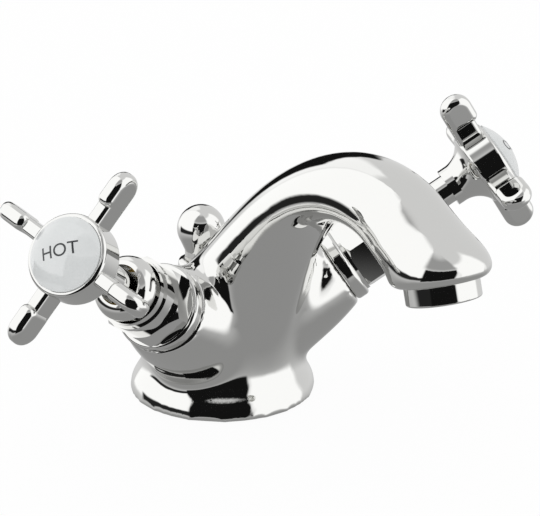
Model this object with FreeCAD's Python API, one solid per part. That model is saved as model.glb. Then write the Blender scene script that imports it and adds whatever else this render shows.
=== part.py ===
"""Monobloc basin mixer: cast body with a swan spout, two cross handles and a lift knob.

Millimetres. The origin is the centre of the foot's underside, +Z is up, the
spout points to -Y, the hot valve is on -X and the cold valve on +X.
"""
import FreeCAD, Part
import math
import os
from FreeCAD import Placement, Rotation, Vector

os.makedirs("parts", exist_ok=True)

# Bell foot of the casting
foot_radius = 26.0
foot_edge = 1.0
foot_step = 0.3
waist_draw = 3.2
waist_height = 10.0

# Swan spout, measured to the lip that the aerator screws into
spout_reach = 90.6
lip_height = 58.2
spout_crest = 82.6
spout_half_width = 11.6
lip_radius = 12.6
lip_round = 2.6
outlet_tilt_deg = 16.0

# Valve arms, measured along each valve axis from the point where the axes meet
axis_set_back = 0.8
axis_height = 13.0
valve_splay_deg = 27.0
valve_rise_deg = 33.0
arm_reach = 16.0
arm_mouth_radius = 12.0
arm_root_radius = 15.6
arm_root_start = 6.0
arm_blend = 4.0

# Bores of the casting
valve_bore_radius = 9.2
valve_bore_depth = 23.5
inlet_radius = 5.0
inlet_depth = 12.0
inlet_spread = 9.5
inlet_set_forward = 2.0
stud_radius = 4.0
stud_depth = 13.0
stud_set_forward = 13.5
supply_way_radius = 3.2
mixed_way_radius = 3.2
mixed_way_rise = 10.0
outlet_bore_radius = 8.5
cast_wall = 3.0

# Gasket let into the underside of the foot
gasket_radius = 23.6
gasket_hole_radius = 18.4
gasket_thickness = 1.5

# Lift knob, its rod and the guide that the rod slides in
rod_radius = 2.4
rod_set_back = 9.7
rod_end_height = 1.0
rod_hole_radius = 3.0
knob_radius = 6.7
knob_rise = 8.8
knob_taper_deg = 28.0
knob_neck_radius = 4.6
knob_neck = 2.6
boss_radius = 6.6
boss_rise = 25.4
spot_clearance = 0.3
guide_radius = 3.8
guide_length = 12.0
guide_head_radius = 4.6
guide_head = 1.0

# Aerator
aerator_radius = 9.25
aerator_show = 4.6
aerator_thread = 6.0
aerator_wall = 0.9
aerator_lip = 0.9
aerator_round = 0.5
insert_height = 5.5
insert_hole_radius = 0.7
insert_hole_pitch = 2.4
insert_margin = 0.8
seal_thickness = 1.2
seal_hole_radius = 5.5

# Bonnet that screws down over the cartridge
bonnet_thread = 7.5
bonnet_flange_radius = 11.7
bonnet_flange = 4.0
bonnet_flange_round = 1.0
bonnet_neck_radius = 10.6
bonnet_neck = 0.8
hex_across_flats = 20.0
hex_length = 7.2
hex_chamfer_share = 0.22
collar_radius = 9.5
collar_length = 5.5
collar_step_radius = 9.0
collar_step = 3.0

# Domed cap over the spindle
cap_groove_radius = 7.6
cap_groove = 1.5
cap_dome = 4.0
cap_dome_radius = 8.5
cap_dome_bulge = 0.7
cap_edge = 0.6
cap_hole_radius = 5.3
cap_spigot_radius = 6.4
cap_spigot = 1.7

# Ceramic cartridge
cartridge_radius = 9.1
stem_radius = 6.5
stem_short = 2.0
chamber_radius = 7.5
disc_radius = 7.2
disc_thickness = 3.0
seat_radius = 9.0
seat_thickness = 2.0
seat_hole_radius = 6.4
port_radius = 2.0
port_spread = 4.2
window_width = 8.0
window_height = 5.0

# Spindle
spindle_radius = 4.1
spindle_flat = 3.2
drive_radius = 6.2
drive_thickness = 3.0
drive_width = 3.6
drive_key = 1.0
ring_section_radius = 0.75
ring_groove_depth = 1.5
ring_place = 9.0
clip_radius = 5.0
clip_thickness = 0.8
clip_groove_depth = 0.8
clip_opening = 3.0
spindle_gap = 12.0

# Cross handle
shank_radius = 5.5
shank_length = 2.6
flare_length = 5.8
flare_radius = 9.4
hub_radius = 10.5
hub_height = 8.4
hub_round = 0.9
web_thickness = 2.4
socket_depth = 8.2
screw_well_radius = 5.0
arm_tip_radius = 24.6
arm_depth = 8.8
arm_set_back = 0.3
arm_neck_dip = 1.5
arm_neck_end = 14.6
arm_neck_width = 4.0
arm_neck_round = 1.3
arm_shoulder = 2.0
arm_width = 4.6
arm_round = 1.9
arm_count = 4
hot_handle_turn_deg = 67.0
cold_handle_turn_deg = 13.0
hot_hex_turn_deg = -17.0
cold_hex_turn_deg = 153.0

# Index button and the screw under it
button_radius = 9.3
button_seat = 2.3
button_edge = 0.4
button_dome = 3.3
screw_radius = 2.0
screw_length = 10.0
screw_head_radius = 3.5
screw_head = 2.6
screw_slot_width = 0.9
screw_slot_depth = 1.1

# Clearances
running_gap = 0.05
seat_gap = 0.1
loose_gap = 0.3
overrun = 1.0

X = Vector(1, 0, 0)
Z = Vector(0, 0, 1)
O = Vector(0, 0, 0)


def cylinder(radius, start, end):
    """Round bar on the local Z axis between two heights."""
    return Part.makeCylinder(radius, end - start, Vector(0, 0, start))


def tube(outer, inner, start, end):
    """Round sleeve on the local Z axis between two heights."""
    return cylinder(outer, start, end).cut(cylinder(inner, start - overrun, end + overrun))


def line(a, b):
    """Straight edge between two (radius, height) points."""
    return Part.LineSegment(Vector(a[0], 0, a[1]), Vector(b[0], 0, b[1])).toShape()


def arc(a, b, c):
    """Arc edge through three (radius, height) points."""
    return Part.Arc(Vector(a[0], 0, a[1]), Vector(b[0], 0, b[1]), Vector(c[0], 0, c[1])).toShape()


def bulged(a, b, bulge):
    """Arc edge from a to b that stands off its chord to the right."""
    run = math.hypot(b[0] - a[0], b[1] - a[1])
    out = ((b[1] - a[1]) / run, -(b[0] - a[0]) / run)
    return arc(a, ((a[0] + b[0]) / 2 + out[0] * bulge, (a[1] + b[1]) / 2 + out[1] * bulge), b)


def ring_of(centre_radius, section_radius, height):
    """Round-section ring about the local Z axis."""
    return Part.makeTorus(centre_radius, section_radius, Vector(0, 0, height))


def bar(length, width, start, end):
    """Straight-sided bar on the local Z axis, centred in both directions."""
    return Part.makeBox(length, width, end - start, Vector(-length / 2, -width / 2, start))


def flatted(radius, flat, start, end):
    """Round bar with one flat, for a drive that cannot slip."""
    reach = radius + overrun
    block = Part.makeBox(reach + flat, reach * 2, end - start, Vector(-reach, -reach, start))
    return cylinder(radius, start, end).common(block)


def turned(edges):
    """Solid turned about the local Z axis from a closed half profile."""
    return Part.Face(Part.Wire(edges)).revolve(O, Z, 360)


def drilled(radius, start, end):
    """Straight way between two points, rounded off past both by the overrun."""
    way = end - start
    return Part.makeCylinder(radius, way.Length, start, way)


# Frames of the valves and of the outlet
def valve_frame(side):
    """Placement whose local Z runs up the valve axis and whose local X is level."""
    rise, splay = math.radians(valve_rise_deg), math.radians(valve_splay_deg)
    axis = Vector(side * math.cos(rise) * math.cos(splay), -math.cos(rise) * math.sin(splay), math.sin(rise))
    level = Z.cross(axis).normalize()
    return Placement(Vector(0, axis_set_back, axis_height), Rotation(level, axis.cross(level), axis, "ZXY"))


outlet_tilt = math.radians(outlet_tilt_deg)
outlet_way = Vector(0, -math.sin(outlet_tilt), -math.cos(outlet_tilt))
lip_forward = Vector(0, -math.cos(outlet_tilt), math.sin(outlet_tilt))
lip_centre = Vector(0, -spout_reach, lip_height)
outlet_bore_depth = aerator_thread + seal_thickness
outlet_frame = Placement(lip_centre, Rotation(X, X.cross(outlet_way) * -1, outlet_way, "ZXY"))

# Waist of the casting, and the length of the arms past it
waist_radius = foot_radius - foot_step - waist_draw
arm_length = waist_radius + arm_reach

# Heights of the lift knob
boss_height = waist_height + boss_rise
knob_height = boss_height + knob_rise
knob_neck_height = boss_height + knob_neck

# Heights along the valve axis
bore_floor = arm_length - valve_bore_depth
cartridge_end = arm_length - bonnet_thread
flange_top = arm_length + bonnet_flange
hex_start = flange_top + bonnet_neck
hex_end = hex_start + hex_length
collar_end = hex_end + collar_length
bonnet_top = collar_end + collar_step
cap_top = bonnet_top + cap_groove + cap_dome
seat_top = bore_floor + seat_thickness
fixed_top = seat_top + disc_thickness
moving_start = fixed_top + seat_gap
moving_top = moving_start + disc_thickness
drive_top = moving_top + drive_thickness
stem_top = bonnet_top - stem_short
shank_end = cap_top + spindle_gap
hub_start = shank_end + shank_length + flare_length
hub_top = hub_start + hub_height
socket_top = shank_end + socket_depth
well_floor = socket_top + web_thickness
button_floor = hub_top - button_seat


# Cast body
# Skirt of the foot: height and bulge past the waist, as shares of the skirt's own.
skirt_shares = [(0.0, 1.0), (0.16, 0.98), (0.34, 0.84), (0.54, 0.52), (0.76, 0.16), (1.0, 0.0)]

# Back line and belly line of the swan in its middle plane, from the waist to the
# lip. Each row: back y and z, belly y and z, widest level, and width, as shares
# of the reach, the rise, the section's height and the step between half widths.
swan_shares = [
    (0.243, 0.060, -0.250, 0.055, 0.50, 0.98),
    (0.222, 0.170, -0.262, 0.145, 0.50, 0.85),
    (0.132, 0.305, -0.295, 0.275, 0.49, 0.60),
    (0.010, 0.455, -0.345, 0.425, 0.46, 0.33),
    (-0.135, 0.635, -0.415, 0.570, 0.42, 0.13),
    (-0.315, 0.820, -0.510, 0.685, 0.39, 0.04),
    (-0.530, 0.960, -0.615, 0.745, 0.37, 0.0),
    (-0.710, 1.000, -0.705, 0.755, 0.37, 0.0),
    (-0.875, 0.955, -0.785, 0.730, 0.39, 0.02),
    (-1.015, 0.850, -0.835, 0.690, 0.43, 0.06),
]
round_share = 0.5
ring_count = 16
lip_step_count = 3
solid_row_count = 3


def ring(back, belly, split_share, half_width):
    """Control ring of an oval section, whose smooth curve passes through the stated sizes."""
    height = (back - belly).Length
    rise = (back - belly) * (1 / height)
    middle = belly + rise * height * split_share
    spread = 3 / (2 + math.cos(2 * math.pi / ring_count))
    points = []
    for step in range(ring_count):
        turn = 2 * math.pi * step / ring_count
        reach = height * ((1 - split_share) if math.sin(turn) > 0 else split_share)
        offset = X * half_width * math.cos(turn) + rise * reach * math.sin(turn)
        points.append(middle + offset * spread)
    return points


def level_ring(radius, height):
    """Control ring of a level round section about the foot's axis."""
    return ring(Vector(0, radius, height), Vector(0, -radius, height), round_share, radius)


def skin_solid(rings):
    """Solid inside one smooth skin that passes through every ring in turn."""
    reached = [0.0]
    for before, after in zip(rings, rings[1:]):
        steps = [(b - a).Length for a, b in zip(before, after)]
        reached.append(reached[-1] + sum(steps) / ring_count)
    rails = []
    for step in range(ring_count):
        rail = Part.BSplineCurve()
        rail.interpolate(Points=[row[step] for row in rings], Parameters=reached)
        rails.append(rail)
    poles = [list(row) for row in zip(*[rail.getPoles() for rail in rails])]
    around = list(range(ring_count + 1))
    skin = Part.BSplineSurface()
    skin.buildFromPolesMultsKnots(poles, rails[0].getMultiplicities(), [1] * len(around), rails[0].getKnots(),
                                  around, False, True, 3, 3)
    side = skin.toShape()
    caps = [Part.Face(Part.Wire(edge)) for edge in side.Edges if edge.isClosed()]
    shell = Part.Shell([side] + caps)
    shell.sewShape()
    return Part.Solid(shell)


def swan_lines(row):
    """Points of the back line and the belly line that one row of shares gives."""
    rise = spout_crest - waist_height
    back = Vector(0, spout_reach * row[0], waist_height + rise * row[1])
    belly = Vector(0, spout_reach * row[2], waist_height + rise * row[3])
    return back, belly


def swan_rings(wall, rows):
    """Rings of the swan's outside, or of its hollow one wall further in."""
    rings = []
    for row in rows:
        back, belly = swan_lines(row)
        inward = (belly - back).normalize() * wall
        half_width = spout_half_width + (waist_radius - spout_half_width) * row[5] - wall
        rings.append(ring(back + inward, belly - inward, row[4], half_width))
    return rings


def outlet_ring(radius, depth):
    """Control ring of a round section square to the outlet, at a depth above the lip."""
    centre = lip_centre - outlet_way * depth
    return ring(centre + lip_forward * radius, centre - lip_forward * radius, round_share, radius)


def swan():
    """Casting from the foot's rim up the chest, over the crest and down to the lip."""
    rings = []
    for height_share, bulge_share in skirt_shares:
        height = foot_edge + (waist_height - foot_edge) * height_share
        rings.append(level_ring(waist_radius + waist_draw * bulge_share, height))
    rings += swan_rings(0, swan_shares)
    for step in range(lip_step_count + 1):
        turn = math.pi / 2 * step / lip_step_count
        rings.append(outlet_ring(lip_radius - lip_round * (1 - math.cos(turn)), lip_round * (1 - math.sin(turn))))
    return skin_solid(rings)


def swan_hollow():
    """Waterway cored out of the chest and spout, down to the bore of the outlet."""
    rings = swan_rings(cast_wall, swan_shares[solid_row_count:-1])
    rings.append(outlet_ring(outlet_bore_radius - seal_thickness, outlet_bore_depth - overrun))
    return skin_solid(rings)


arm_run_share = 0.62
arm_fall_share = 0.80


def valve_arm():
    """Turned arm, full at its root and drawn in to the mouth that the bonnet seats on."""
    root, mouth = (arm_root_radius, arm_root_start), (arm_mouth_radius, arm_length)
    full = (arm_mouth_radius + (arm_root_radius - arm_mouth_radius) * arm_fall_share,
            arm_root_start + (arm_length - arm_root_start) * arm_run_share)
    edges = [line((0, arm_root_start), root), arc(root, full, mouth),
             line(mouth, (0, arm_length)), line((0, arm_length), (0, arm_root_start))]
    return turned(edges)


def bored(solid):
    """Casting with its valve bores, waterways, outlet bore and underside holes cut."""
    cuts = [swan_hollow()]
    hollow_back, hollow_belly = swan_lines(swan_shares[solid_row_count])
    hollow_foot = (hollow_back + hollow_belly) * round_share
    outlet = cylinder(outlet_bore_radius, -outlet_bore_depth, overrun)
    outlet.Placement = outlet_frame
    cuts.append(outlet)
    for side in (-1, 1):
        frame = valve_frame(side)
        bore = cylinder(valve_bore_radius, bore_floor, arm_length + overrun)
        bore.Placement = frame
        inlet = Vector(side * inlet_spread, -inlet_set_forward, 0)
        seat = frame.multVec(Vector(0, 0, bore_floor + overrun))
        port = frame.multVec(Vector(0, valve_bore_radius - mixed_way_radius, bore_floor + mixed_way_rise))
        cuts.append(bore)
        cuts.append(Part.makeCylinder(inlet_radius, inlet_depth, inlet))
        cuts.append(drilled(supply_way_radius, inlet + Z * (inlet_depth - overrun), seat))
        cuts.append(drilled(mixed_way_radius, port, hollow_foot + Z * (mixed_way_radius + overrun)))
    rod_foot = Vector(0, rod_set_back, 0)
    cuts.append(Part.makeCylinder(stud_radius, stud_depth, Vector(0, -stud_set_forward, 0)))
    cuts.append(Part.makeCylinder(rod_hole_radius, boss_height, rod_foot))
    cuts.append(Part.makeCylinder(guide_radius, guide_length, rod_foot + Z * (boss_height - guide_length)))
    cuts.append(Part.makeCylinder(knob_radius + spot_clearance, spout_crest, rod_foot + Z * boss_height))
    cuts.append(tube(gasket_radius, gasket_hole_radius, 0, gasket_thickness))
    return solid.cut(cuts)


def blended(solid):
    """Casting with its arms flowing into the chest."""
    crease = []
    for edge in solid.Edges:
        kinds = sorted(face.Surface.TypeId for face in solid.ancestorsOfType(edge, Part.Face))
        if kinds == ["Part::GeomBSplineSurface", "Part::GeomSurfaceOfRevolution"]:
            crease.append(edge)
    return solid.makeFillet(arm_blend, crease)


def tap_body():
    arms = []
    for side in (-1, 1):
        arm = valve_arm()
        arm.Placement = valve_frame(side)
        arms.append(arm)
    solid = blended(swan().fuse(arms))
    boss = Part.makeCylinder(boss_radius, boss_height - waist_height, Vector(0, rod_set_back, waist_height))
    return bored(solid.fuse([cylinder(foot_radius, 0, foot_edge), boss]))


# Lift knob, rod and guide
def lift_knob():
    foot = boss_height + guide_head + running_gap
    taper = math.radians(knob_taper_deg)
    ball_end = (knob_radius * math.cos(taper), knob_height - knob_radius * math.sin(taper))
    neck, top = (knob_neck_radius, knob_neck_height), (0, knob_height + knob_radius)
    edges = [line((0, foot), (knob_neck_radius, foot)), line((knob_neck_radius, foot), neck),
             line(neck, ball_end), arc(ball_end, (knob_radius, knob_height), top), line(top, (0, foot))]
    socket = cylinder(rod_radius, foot - overrun, knob_height)
    return turned(edges).cut(socket)


def lift_rod():
    return cylinder(rod_radius, rod_end_height, knob_height)


def rod_guide():
    body = cylinder(guide_radius, boss_height - guide_length, boss_height)
    head = cylinder(guide_head_radius, boss_height, boss_height + guide_head)
    hole = cylinder(rod_radius + running_gap, 0, knob_height)
    return body.fuse(head).cut(hole)


# Aerator
def aerator_housing():
    shell = cylinder(aerator_radius, 0, aerator_show)
    foot = [edge for edge in shell.Edges if abs(edge.CenterOfMass.z - aerator_show) < running_gap]
    shell = shell.makeFillet(aerator_round, foot)
    thread = cylinder(outlet_bore_radius - seat_gap, -aerator_thread, 0)
    inner = outlet_bore_radius - seat_gap - aerator_wall
    bore = cylinder(inner, -aerator_thread - overrun, aerator_show - aerator_lip)
    mouth = cylinder(inner - aerator_lip, 0, aerator_show + overrun)
    return shell.fuse(thread).cut([bore, mouth])


def aerator_insert():
    radius = outlet_bore_radius - seat_gap - aerator_wall - seat_gap
    end = aerator_show - aerator_lip
    holes = []
    reach = int(radius / insert_hole_pitch)
    for row in range(-reach, reach + 1):
        for column in range(-reach, reach + 1):
            x, y = row * insert_hole_pitch, column * insert_hole_pitch
            if math.hypot(x, y) + insert_hole_radius + insert_margin < radius - aerator_lip:
                start = Vector(x, y, end - insert_height - overrun)
                holes.append(Part.makeCylinder(insert_hole_radius, insert_height + overrun * 2, start))
    return cylinder(radius, end - insert_height, end).cut(holes)


def aerator_seal():
    return tube(outlet_bore_radius - seat_gap, seal_hole_radius, -outlet_bore_depth, -aerator_thread)


# Valve stack
def bonnet(hex_turn_deg):
    neck, flange = bonnet_neck_radius, bonnet_flange_radius
    round_off = bonnet_flange_round
    spigot = valve_bore_radius - seat_gap
    edges = [line((0, cartridge_end), (spigot, cartridge_end)),
             line((spigot, cartridge_end), (spigot, arm_length)),
             line((spigot, arm_length), (flange - round_off, arm_length)),
             bulged((flange - round_off, arm_length), (flange, arm_length + round_off), round_off * round_share / 2),
             line((flange, arm_length + round_off), (flange, flange_top - round_off)),
             bulged((flange, flange_top - round_off), (flange - round_off, flange_top), round_off * round_share / 2),
             line((flange - round_off, flange_top), (neck, flange_top)),
             line((neck, flange_top), (neck, hex_start)),
             line((neck, hex_start), (collar_radius, hex_start)),
             line((collar_radius, hex_start), (collar_radius, collar_end)),
             line((collar_radius, collar_end), (collar_step_radius, collar_end)),
             line((collar_step_radius, collar_end), (collar_step_radius, bonnet_top)),
             line((collar_step_radius, bonnet_top), (0, bonnet_top)),
             line((0, bonnet_top), (0, cartridge_end))]
    solid = turned(edges).fuse(hexagon(hex_turn_deg))
    return solid.cut(cylinder(stem_radius + running_gap, cartridge_end - overrun, bonnet_top + overrun))


def hexagon(turn_deg):
    """Spanner hexagon with its corners chamfered at both ends."""
    corner = hex_across_flats / 2 / math.cos(math.pi / 6)
    points = []
    for step in range(7):
        turn = math.radians(turn_deg) + step * math.pi / 3
        points.append(Vector(corner * math.cos(turn), corner * math.sin(turn), hex_start))
    prism = Part.Face(Part.makePolygon(points)).extrude(Z * hex_length)
    trim = hex_across_flats / 2 * hex_chamfer_share
    face = corner - trim / 2
    edges = [line((0, hex_start), (face, hex_start)),
             line((face, hex_start), (corner, hex_start + trim / 2)),
             line((corner, hex_start + trim / 2), (corner, hex_end - trim / 2)),
             line((corner, hex_end - trim / 2), (face, hex_end)),
             line((face, hex_end), (0, hex_end)), line((0, hex_end), (0, hex_start))]
    return prism.common(turned(edges))


def gland_cap():
    groove_end = bonnet_top + cap_groove
    dome_base = groove_end + cap_edge
    edges = [line((cap_hole_radius, bonnet_top - cap_spigot), (cap_spigot_radius, bonnet_top - cap_spigot)),
             line((cap_spigot_radius, bonnet_top - cap_spigot), (cap_spigot_radius, bonnet_top)),
             line((cap_spigot_radius, bonnet_top), (cap_groove_radius, bonnet_top)),
             line((cap_groove_radius, bonnet_top), (cap_groove_radius, groove_end)),
             line((cap_groove_radius, groove_end), (cap_dome_radius, groove_end)),
             line((cap_dome_radius, groove_end), (cap_dome_radius, dome_base)),
             bulged((cap_dome_radius, dome_base), (cap_hole_radius, cap_top), cap_dome_bulge),
             line((cap_hole_radius, cap_top), (cap_hole_radius, bonnet_top - cap_spigot))]
    return turned(edges)


def cartridge():
    solid = cylinder(cartridge_radius, seat_top, cartridge_end)
    solid = solid.fuse(cylinder(stem_radius, cartridge_end, stem_top))
    chamber = cylinder(chamber_radius, seat_top - overrun, drive_top + loose_gap)
    bore = cylinder(spindle_radius + running_gap, drive_top, stem_top + overrun)
    windows = bar(window_width, cartridge_radius * 3, moving_start, moving_start + window_height)
    return solid.cut([chamber, bore, windows])


def seat_washer():
    return tube(seat_radius, seat_hole_radius, bore_floor, seat_top)


def fixed_disc():
    holes = []
    for side in (-1, 1):
        start = Vector(side * port_spread, 0, seat_top - overrun)
        holes.append(Part.makeCylinder(port_radius, disc_thickness + overrun * 2, start))
    return cylinder(disc_radius, seat_top, fixed_top).cut(holes)


def moving_disc():
    cuts = [bar(disc_radius * 3, drive_width + running_gap * 2, moving_top - drive_key, moving_top + overrun)]
    for side in (-1, 1):
        start = Vector(0, side * port_spread, moving_start - overrun)
        cuts.append(Part.makeCylinder(port_radius, disc_thickness + overrun * 2, start))
    return cylinder(disc_radius, moving_start, moving_top).cut(cuts)


def spindle(turn_deg):
    blade = bar(drive_radius * 2, drive_width, moving_top - drive_key, drive_top)
    blade = blade.common(cylinder(drive_radius, moving_start, drive_top))
    solid = cylinder(spindle_radius, drive_top, shank_end).fuse(blade)
    drive_end = flatted(spindle_radius, spindle_flat, shank_end, socket_top)
    drive_end.rotate(O, Z, turn_deg)
    solid = solid.fuse(drive_end)
    ring_height = drive_top + ring_place
    ring_groove = tube(spindle_radius + overrun, spindle_radius - ring_groove_depth,
                       ring_height - ring_section_radius - running_gap, ring_height + ring_section_radius + running_gap)
    clip_groove = tube(spindle_radius + overrun, spindle_radius - clip_groove_depth,
                       stem_top, stem_top + clip_thickness + running_gap * 2)
    tapping = cylinder(screw_radius + running_gap, well_floor - screw_length - overrun, socket_top + overrun)
    return solid.cut([ring_groove, clip_groove, tapping])


def spindle_o_ring():
    return ring_of(spindle_radius - ring_groove_depth + ring_section_radius, ring_section_radius, drive_top + ring_place)


def circlip():
    start = stem_top + running_gap
    clip = tube(clip_radius, spindle_radius - clip_groove_depth + running_gap, start, start + clip_thickness)
    opening = Part.makeBox(clip_radius * 2, clip_opening, clip_thickness * 3,
                           Vector(0, -clip_opening / 2, start - clip_thickness))
    return clip.cut(opening)


# Handle
def cross_arm():
    """Paddle on a slimmer neck, standing out along local X from the hub's middle."""
    back = hub_start + arm_set_back
    front, half = back + arm_depth, arm_depth / 2
    inner, tip, corner = arm_neck_end, arm_tip_radius, arm_shoulder
    slant = corner * (1 - math.sqrt(round_share))
    edges = [line((inner + corner, back), (tip - half, back)),
             arc((tip - half, back), (tip, back + half), (tip - half, front)),
             line((tip - half, front), (inner + corner, front)),
             arc((inner + corner, front), (inner + slant, front - slant), (inner, front - corner)),
             line((inner, front - corner), (inner, back + corner)),
             arc((inner, back + corner), (inner + slant, back + slant), (inner + corner, back))]
    paddle = Part.Face(Part.Wire(edges)).extrude(Vector(0, arm_width, 0))
    paddle.translate(Vector(0, -arm_width / 2, 0))
    outline = [edge for edge in paddle.Edges if abs(abs(edge.CenterOfMass.y) - arm_width / 2) < running_gap]
    paddle = paddle.makeFillet(arm_round, outline)
    neck = Part.makeBox(inner + corner, arm_neck_width, arm_depth - arm_neck_dip, Vector(0, -arm_neck_width / 2, back))
    long_edges = [edge for edge in neck.Edges if edge.Length > inner]
    return paddle.fuse(neck.makeFillet(arm_neck_round, long_edges))


def cross_handle():
    flare_start = shank_end + shank_length
    edges = [line((0, shank_end), (shank_radius, shank_end)),
             line((shank_radius, shank_end), (shank_radius, flare_start)),
             bulged((shank_radius, flare_start), (flare_radius, hub_start), -hub_round),
             line((flare_radius, hub_start), (hub_radius - hub_round, hub_start)),
             bulged((hub_radius - hub_round, hub_start), (hub_radius, hub_start + hub_round), hub_round * round_share / 2),
             line((hub_radius, hub_start + hub_round), (hub_radius, hub_top - hub_round)),
             bulged((hub_radius, hub_top - hub_round), (hub_radius - hub_round, hub_top), hub_round * round_share / 2),
             line((hub_radius - hub_round, hub_top), (0, hub_top)), line((0, hub_top), (0, shank_end))]
    arms = []
    for step in range(arm_count):
        arm = cross_arm()
        arm.rotate(O, Z, 360 * step / arm_count)
        arms.append(arm)
    recess = button_radius + seat_gap
    cuts = [flatted(spindle_radius + running_gap, spindle_flat + running_gap, shank_end - overrun, socket_top),
            cylinder(screw_radius + loose_gap, shank_end, button_floor),
            cylinder(screw_well_radius, well_floor, hub_top),
            cylinder(recess, button_floor, hub_top + arm_depth)]
    return turned(edges).fuse(arms).cut(cuts)


def handle_screw():
    head = cylinder(screw_head_radius, well_floor, well_floor + screw_head)
    slot = bar(screw_head_radius * 3, screw_slot_width, well_floor + screw_head - screw_slot_depth, hub_top)
    return head.cut(slot).fuse(cylinder(screw_radius, well_floor - screw_length, well_floor))


def index_button():
    edge_top = hub_top + button_edge
    edges = [line((0, button_floor), (button_radius, button_floor)),
             line((button_radius, button_floor), (button_radius, edge_top)),
             arc((button_radius, edge_top), dome_point(edge_top), (0, edge_top + button_dome)),
             line((0, edge_top + button_dome), (0, button_floor))]
    return turned(edges)


def dome_point(edge_top):
    """Point midway along the spherical dome of the button."""
    sphere = (button_radius ** 2 + button_dome ** 2) / (button_dome * 2)
    turn = math.asin(button_radius / sphere) / 2
    return (sphere * math.sin(turn), edge_top + button_dome - sphere * (1 - math.cos(turn)))


parts = {"tap_body": tap_body()}

gasket = tube(gasket_radius - seat_gap, gasket_hole_radius + seat_gap, 0, gasket_thickness)
parts["base_gasket"] = gasket

for name, shape in (("rod_guide", rod_guide()), ("lift_rod", lift_rod()), ("lift_knob", lift_knob())):
    shape.translate(Vector(0, rod_set_back, 0))
    parts[name] = shape

for name, shape in (("aerator_housing", aerator_housing()), ("aerator_insert", aerator_insert()),
                    ("aerator_seal", aerator_seal())):
    shape.Placement = outlet_frame
    parts[name] = shape

for side_name, side, handle_turn, hex_turn in (("hot", -1, hot_handle_turn_deg, hot_hex_turn_deg),
                                               ("cold", 1, cold_handle_turn_deg, cold_hex_turn_deg)):
    still = {"seat_washer": seat_washer(), "fixed_disc": fixed_disc(), "cartridge": cartridge(),
             "bonnet": bonnet(hex_turn), "gland_cap": gland_cap()}
    turning = {"moving_disc": moving_disc(), "spindle": spindle(handle_turn), "spindle_o_ring": spindle_o_ring(),
               "circlip": circlip(), "cross_handle": cross_handle(), "handle_screw": handle_screw(),
               "index_button": index_button()}
    for name in ("cross_handle", "handle_screw", "index_button"):
        turning[name].rotate(O, Z, handle_turn)
    for name, shape in list(still.items()) + list(turning.items()):
        shape.Placement = valve_frame(side).multiply(shape.Placement)
        parts[f"{side_name}_{name}"] = shape

for name, shape in parts.items():
    shape.exportStep(f"parts/{name}.step")
    print(name, len(shape.Solids), round(shape.Volume), shape.isValid())
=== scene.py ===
import math
import bpy
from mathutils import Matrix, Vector


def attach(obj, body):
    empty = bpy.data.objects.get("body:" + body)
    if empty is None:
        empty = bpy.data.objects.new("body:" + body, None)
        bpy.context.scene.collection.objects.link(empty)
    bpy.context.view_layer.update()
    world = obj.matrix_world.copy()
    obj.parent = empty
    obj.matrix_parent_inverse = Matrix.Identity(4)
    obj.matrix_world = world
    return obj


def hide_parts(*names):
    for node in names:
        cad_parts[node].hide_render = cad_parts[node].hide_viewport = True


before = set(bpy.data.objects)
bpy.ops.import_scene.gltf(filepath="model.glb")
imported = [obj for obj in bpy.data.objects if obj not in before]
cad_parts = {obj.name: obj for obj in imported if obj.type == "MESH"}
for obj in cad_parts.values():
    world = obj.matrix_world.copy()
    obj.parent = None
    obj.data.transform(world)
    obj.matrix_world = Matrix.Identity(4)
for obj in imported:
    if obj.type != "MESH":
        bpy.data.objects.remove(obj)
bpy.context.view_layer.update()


# Casting: foot, chest, valve arms and swan spout in one piece of brass.
# It is sand cast, linished until the arms flow into the chest, then plated
# with nickel and chrome, so it mirrors the room.
def linear(hex_colour):
    """Linear RGBA of an sRGB hex colour."""
    channels = [int(hex_colour[i:i + 2], 16) / 255 for i in (1, 3, 5)]
    return [c / 12.92 if c <= 0.04045 else ((c + 0.055) / 1.055) ** 2.4 for c in channels] + [1]


def add_node(tree, kind, settings, sockets):
    """One shader node with its settings, its values and the links into it."""
    made = tree.nodes.new("ShaderNode" + kind)
    for name, value in settings.items():
        setattr(made, name, value)
    for name, value in sockets.items():
        if isinstance(value, bpy.types.NodeSocket):
            tree.links.new(value, made.inputs[name])
        else:
            made.inputs[name].default_value = value
    return made


def new_finish(name):
    """A material, its node tree, its shader and the piece's own coordinates."""
    material = bpy.data.materials.new(name)
    material.use_nodes = True
    tree = material.node_tree
    place = add_node(tree, "TexCoord", {}, {})
    return material, tree, tree.nodes["Principled BSDF"], place.outputs["Object"]


def ramp(value, start, end):
    """0 at start, 1 at end, straight between them and level outside them."""
    return min(max((value - start) / (end - start), 0), 1)


def rub_down(piece, name, passes, group_name=""):
    """Smooth a piece, all over or where a vertex group says."""
    rubbing = piece.modifiers.new(name, "SMOOTH")
    rubbing.factor = 0.5
    rubbing.iterations = passes
    rubbing.vertex_group = group_name
    bpy.ops.object.modifier_apply(modifier=rubbing.name)


# Chrome plate: a thin hard mirror. Handling leaves patches a little less sharp,
# about 12 mm across.
patch_size = 0.012
polished_chrome, tree, shader, place = new_finish("polished_chrome_plate")
shader.inputs["Base Color"].default_value = linear("#dededc")
shader.inputs["Metallic"].default_value = 1.0
patches = add_node(tree, "TexNoise", {}, {"Vector": place, "Scale": 1 / patch_size, "Detail": 3.0})
sharpness = add_node(tree, "MapRange", {}, {"Value": patches.outputs[0], "From Min": 0.35, "From Max": 0.75,
                                            "To Min": 0.018, "To Max": 0.04})
tree.links.new(sharpness.outputs[0], shader.inputs["Roughness"])

axis_meeting = Vector((0, 0.0008, 0.013))
valve_rise, valve_splay = math.radians(33), math.radians(27)
valve_axes = {side: Vector((sign * math.cos(valve_rise) * math.cos(valve_splay),
                            -math.cos(valve_rise) * math.sin(valve_splay), math.sin(valve_rise)))
              for side, sign in (("hot", -1), ("cold", 1))}

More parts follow.
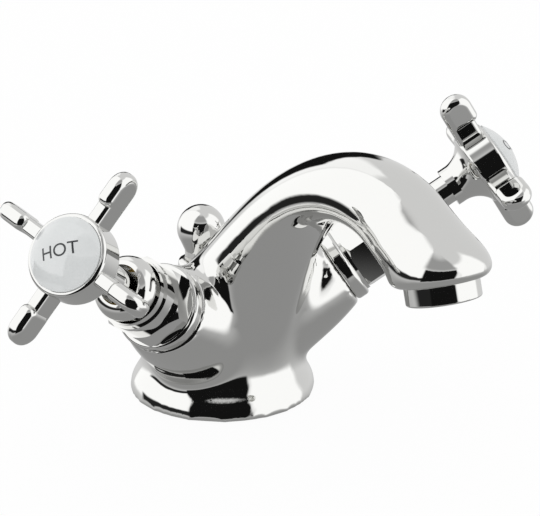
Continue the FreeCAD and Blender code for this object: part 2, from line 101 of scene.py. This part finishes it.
mesh_step = 0.0008
bpy.ops.object.select_all(action="DESELECT")
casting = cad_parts["tap_body"].copy()
casting.data = casting.data.copy()
casting.name = "casting"
bpy.context.scene.collection.objects.link(casting)
casting.select_set(True)
bpy.context.view_layer.objects.active = casting
bpy.ops.object.mode_set(mode="EDIT")
bpy.ops.mesh.select_all(action="SELECT")
bpy.ops.mesh.customdata_custom_splitnormals_clear()
bpy.ops.mesh.remove_doubles(threshold=0.000002)
bpy.ops.object.mode_set(mode="OBJECT")
even = casting.modifiers.new("even_mesh", "REMESH")
even.mode = "VOXEL"
even.voxel_size = mesh_step
even.use_smooth_shade = True
bpy.ops.object.modifier_apply(modifier=even.name)

# The linished hollows: strongest where an arm meets the chest, none at the foot.
hollow_from_axis, hollow_width = 0.0165, 0.0035
hollow_start, hollow_full, hollow_fade, hollow_end = 0.008, 0.014, 0.026, 0.034
foot_top, chest_low = 0.009, 0.015
hollows = casting.vertex_groups.new(name="hollows")
for point in casting.data.vertices:
    most = 0
    for axis in valve_axes.values():
        away = point.co - axis_meeting
        along = away.dot(axis)
        out = (away - axis * along).length
        near = math.exp(-((out - hollow_from_axis) / hollow_width) ** 2)
        near *= ramp(along, hollow_start, hollow_full) * ramp(along, hollow_end, hollow_fade)
        most = max(most, near * ramp(point.co.z, foot_top, chest_low))
    hollows.add([point.index], most, "REPLACE")
rub_down(casting, "linishing", 70, hollows.name)
rub_down(casting, "buffing", 6)

# The lower edge of the foot is eased on the wheel.
edge_top, edge_full = 0.0028, 0.0014
edge_inner, edge_outer = 0.0225, 0.0235
edge = casting.vertex_groups.new(name="foot_edge")
for point in casting.data.vertices:
    reach = math.hypot(point.co.x, point.co.y)
    near = ramp(point.co.z, edge_top, edge_full) * ramp(reach, edge_inner, edge_outer)
    edge.add([point.index], near, "REPLACE")
rub_down(casting, "easing", 14, edge.name)
casting.data.materials.clear()
casting.data.materials.append(polished_chrome)
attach(casting, "tap")
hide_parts("tap_body")


# Gasket let into the foot, seat washers, seal and rings: moulded black rubber,
# dull, with a fine grain from the mould.
def dress(names, material):
    """Give CAD nodes their finish."""
    for name in names:
        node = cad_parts[name]
        node.data.materials.clear()
        node.data.materials.append(material)


def both_sides(*names):
    """The names of a piece on the hot and the cold valve."""
    return [f"{side}_{name}" for side in valve_axes for name in names]


mould_grain = 0.0006
rubber, tree, shader, place = new_finish("moulded_black_rubber")
shader.inputs["Base Color"].default_value = linear("#1c1c1d")
shader.inputs["Roughness"].default_value = 0.7
grain = add_node(tree, "TexNoise", {}, {"Vector": place, "Scale": 1 / mould_grain, "Detail": 4.0})
bump = add_node(tree, "Bump", {}, {"Height": grain.outputs[0], "Strength": 0.3, "Distance": 0.00005})
tree.links.new(bump.outputs[0], shader.inputs["Normal"])
dress(["base_gasket", "aerator_seal"] + both_sides("seat_washer", "spindle_o_ring"), rubber)

# Aerator jet and the guide bush of the lift rod: moulded white nylon, pressed
# into place. The resin clouds a little, over about 4 mm.
cloud_size = 0.004
nylon, tree, shader, place = new_finish("moulded_white_nylon")
cloud = add_node(tree, "TexNoise", {}, {"Vector": place, "Scale": 1 / cloud_size, "Detail": 2.0})
tint = add_node(tree, "Mix", {"data_type": "RGBA"},
                {0: cloud.outputs[0], 6: linear("#d6d6d0"), 7: linear("#e2e2dd")})
tree.links.new(tint.outputs[2], shader.inputs["Base Color"])
shader.inputs["Roughness"].default_value = 0.42
dress(["aerator_insert", "rod_guide"], nylon)

# Aerator ring, lift knob and rod, bonnets, gland caps, spindles and cross handles:
# turned or cast in brass, screwed or pushed into place, and plated like the
# casting.
dress(["aerator_housing", "lift_knob", "lift_rod"]
      + both_sides("bonnet", "gland_cap", "spindle", "cross_handle"), polished_chrome)

# Cartridges: machined brass, left unplated, screwed down on the seat washers.
# The cut leaves a fine uneven dullness, drawn as a grain of 0.3 mm.
cut_grain = 0.0003
brass, tree, shader, place = new_finish("machined_brass")
shader.inputs["Base Color"].default_value = linear("#c8a85c")
shader.inputs["Metallic"].default_value = 1.0
marks = add_node(tree, "TexNoise", {}, {"Vector": place, "Scale": 1 / cut_grain, "Detail": 2.0})
dulling = add_node(tree, "MapRange", {}, {"Value": marks.outputs[0], "To Min": 0.22, "To Max": 0.38})
tree.links.new(dulling.outputs[0], shader.inputs["Roughness"])
dress(both_sides("cartridge"), brass)

# Sealing discs: fine-ground alumina, off-white, lapped flat so that one slides
# on the other. The lapping shows as a faint change of gloss, over 0.8 mm.
lapping_size = 0.0008
ground_ceramic, tree, shader, place = new_finish("lapped_alumina")
shader.inputs["Base Color"].default_value = linear("#ebe7dc")
lapping = add_node(tree, "TexNoise", {}, {"Vector": place, "Scale": 1 / lapping_size, "Detail": 3.0})
dulling = add_node(tree, "MapRange", {}, {"Value": lapping.outputs[0], "To Min": 0.2, "To Max": 0.34})
tree.links.new(dulling.outputs[0], shader.inputs["Roughness"])
dress(both_sides("fixed_disc", "moving_disc"), ground_ceramic)

# Circlips and handle screws: plain stainless steel, drawn and headed. The clip
# holds the spindle in, the screw holds the handle on. Grain of about 0.5 mm.
drawn_grain = 0.0005
steel, tree, shader, place = new_finish("plain_stainless_steel")
shader.inputs["Base Color"].default_value = linear("#b4b4b0")
shader.inputs["Metallic"].default_value = 1.0
drawing = add_node(tree, "TexNoise", {}, {"Vector": place, "Scale": 1 / drawn_grain, "Detail": 3.0})
dulling = add_node(tree, "MapRange", {}, {"Value": drawing.outputs[0], "To Min": 0.24, "To Max": 0.4})
tree.links.new(dulling.outputs[0], shader.inputs["Roughness"])
dress(both_sides("circlip", "handle_screw"), steel)

# Index buttons: slip-cast porcelain, domed and glazed, pushed into the hub over
# the screw. The glaze pools a little, so the white clouds over about 5 mm.
pool_size = 0.005
porcelain, tree, shader, place = new_finish("glazed_porcelain")
pooling = add_node(tree, "TexNoise", {}, {"Vector": place, "Scale": 1 / pool_size, "Detail": 2.0})
tint = add_node(tree, "Mix", {"data_type": "RGBA"},
                {0: pooling.outputs[0], 6: linear("#d3d6d6"), 7: linear("#dee0e0")})
tree.links.new(tint.outputs[2], shader.inputs["Base Color"])
shader.inputs["Roughness"].default_value = 0.05
shader.inputs["Coat Weight"].default_value = 0.6
shader.inputs["Coat Roughness"].default_value = 0.02
dress(both_sides("index_button"), porcelain)

# Words on the buttons: black enamel, printed on the dome and fired. The letters
# are plain, about 3.3 mm tall, and stand a hair proud of the glaze.
print_size = 0.0004
enamel, tree, shader, place = new_finish("black_fired_enamel")
print_grain = add_node(tree, "TexNoise", {}, {"Vector": place, "Scale": 1 / print_size, "Detail": 2.0})
tint = add_node(tree, "Mix", {"data_type": "RGBA"},
                {0: print_grain.outputs[0], 6: linear("#1d2022"), 7: linear("#33373a")})
tree.links.new(tint.outputs[2], shader.inputs["Base Color"])
shader.inputs["Roughness"].default_value = 0.12
letter_size = 0.0046
letter_stand = 0.00004
dome_top = 0.097
dome_radius = 0.014754
for side, words, turn_deg in (("hot", "HOT", 22), ("cold", "COLD", -32)):
    axis = valve_axes[side]
    level = Vector((0, 0, 1)).cross(axis).normalized()
    upward = axis.cross(level)
    turn = math.radians(turn_deg)
    along = level * math.cos(turn) + upward * math.sin(turn)
    across = upward * math.cos(turn) - level * math.sin(turn)
    bpy.ops.object.select_all(action="DESELECT")
    bpy.ops.object.text_add(location=(0, 0, 0))
    lettering = bpy.context.object
    lettering.data.body = words
    lettering.data.size = letter_size
    lettering.data.align_x = "CENTER"
    lettering.data.align_y = "CENTER"
    lettering.data.extrude = letter_stand
    bpy.ops.object.convert(target="MESH")
    lettering = bpy.context.object
    lettering.name = f"{side}_lettering"
    bpy.ops.object.mode_set(mode="EDIT")
    bpy.ops.mesh.select_all(action="SELECT")
    bpy.ops.mesh.remove_doubles(threshold=0.000001)
    bpy.ops.mesh.quads_convert_to_tris()
    bpy.ops.mesh.subdivide(number_cuts=2)
    bpy.ops.mesh.normals_make_consistent(inside=False)
    bpy.ops.object.mode_set(mode="OBJECT")
    for point in lettering.data.vertices:
        x, y, stand = point.co
        drop = dome_radius - math.sqrt(dome_radius ** 2 - x * x - y * y)
        point.co = axis_meeting + along * x + across * y + axis * (dome_top - drop + stand)
    lettering.data.materials.clear()
    lettering.data.materials.append(enamel)
    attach(lettering, f"{side}_control")

# Floor: a plain white sheet just under the foot, seen as white by the camera.
# It keeps a faint shadow, and the metal shows the studio's table instead of it.
floor_gap = 0.0002
white_share = 0.95
bpy.ops.object.select_all(action="DESELECT")
bpy.ops.mesh.primitive_plane_add(size=6, location=(0, 0, -floor_gap))
floor = bpy.context.object
floor.name = "floor"
floor.visible_glossy = False
sheet = bpy.data.materials.new("white_paper_sheet")
sheet.use_nodes = True
tree = sheet.node_tree
shader = tree.nodes["Principled BSDF"]
shader.inputs["Base Color"].default_value = linear("#f4f4f4")
shader.inputs["Roughness"].default_value = 0.9
light_path = add_node(tree, "LightPath", {}, {})
white = add_node(tree, "Emission", {}, {"Color": (1, 1, 1, 1), "Strength": 1.0})
share = add_node(tree, "Math", {"operation": "MULTIPLY"}, {0: light_path.outputs["Is Camera Ray"], 1: white_share})
both = add_node(tree, "MixShader", {}, {0: share.outputs[0], 1: shader.outputs[0], 2: white.outputs[0]})
tree.links.new(both.outputs[0], tree.nodes["Material Output"].inputs["Surface"])
floor.data.materials.append(sheet)

# Studio: white to the eye. In the metal it shows as soft boxes over a grey table
# with a dark far edge, a dark side behind the camera and one black flag.
# Each panel: turn from the front, height, half its turn and height, softness, level.
world = bpy.data.worlds.new("studio")
bpy.context.scene.world = world
world.use_nodes = True
tree = world.node_tree
ways = add_node(tree, "TexCoord", {}, {})
split = add_node(tree, "SeparateXYZ", {}, {0: ways.outputs["Generated"]})
front = add_node(tree, "Math", {"operation": "MULTIPLY"}, {0: split.outputs["Y"], 1: -1.0})
turn = add_node(tree, "Math", {"operation": "ARCTAN2"}, {0: split.outputs["X"], 1: front.outputs[0]})
height = add_node(tree, "Math", {"operation": "ARCSINE"}, {0: split.outputs["Z"]})
table = add_node(tree, "MapRange", {"interpolation_type": "SMOOTHSTEP"},
                 {"Value": height.outputs[0], "From Min": math.radians(-42), "From Max": math.radians(-6),
                  "To Min": 0.34, "To Max": 0.8})
seen = table.outputs[0]
panels = [(-128, 38, 52, 48, 5, 1.3), (166, 32, 16, 30, 5, 1.2), (40, 19, 38, 41, 5, 1.3),
          (-38, 60, 42, 18, 8, 0.4), (-105, -10, 45, 8, 3, 0.02), (-38, 6, 38, 32, 2, 0.008),
          (154, 8, 17, 14, 2, 0.008)]
for panel_turn, panel_height, half_turn, half_height, softness, level in panels:
    factor = 1.0
    for angle, middle, half in ((turn, panel_turn, half_turn), (height, panel_height, half_height)):
        off = add_node(tree, "Math", {"operation": "SUBTRACT"}, {0: angle.outputs[0], 1: math.radians(middle)})
        away = add_node(tree, "Math", {"operation": "ABSOLUTE"}, {0: off.outputs[0]})
        inside = add_node(tree, "MapRange", {"interpolation_type": "SMOOTHSTEP"},
                          {"Value": away.outputs[0], "From Min": math.radians(half - softness),
                           "From Max": math.radians(half + softness), "To Min": 1.0, "To Max": 0.0})
        factor = add_node(tree, "Math", {"operation": "MULTIPLY"}, {0: factor, 1: inside.outputs[0]}).outputs[0]
    seen = add_node(tree, "Mix", {}, {0: factor, 2: seen, 3: level}).outputs[0]
light_path = add_node(tree, "LightPath", {}, {})
strength = add_node(tree, "Mix", {}, {0: light_path.outputs["Is Glossy Ray"], 2: 1.0, 3: seen}).outputs[0]
tree.links.new(strength, tree.nodes["Background"].inputs["Strength"])
tree.nodes["Background"].inputs["Color"].default_value = (1, 1, 1, 1)

# Camera at the photograph's place: in front, to the left and a little above,
# looking at the chest between the valves through a long lens.
camera_place = (-0.29828, -0.42436, 0.22353)
camera_target = Vector((0.0166, 0, 0.0346))
bpy.ops.object.camera_add(location=camera_place)
camera = bpy.context.object
camera.rotation_euler = (camera_target - camera.location).to_track_quat("-Z", "Y").to_euler()
camera.data.lens = 133.55
camera.data.sensor_width = 36.0
camera.data.clip_start = 0.01
bpy.context.scene.camera = camera
bpy.context.scene.view_settings.view_transform = "Standard"
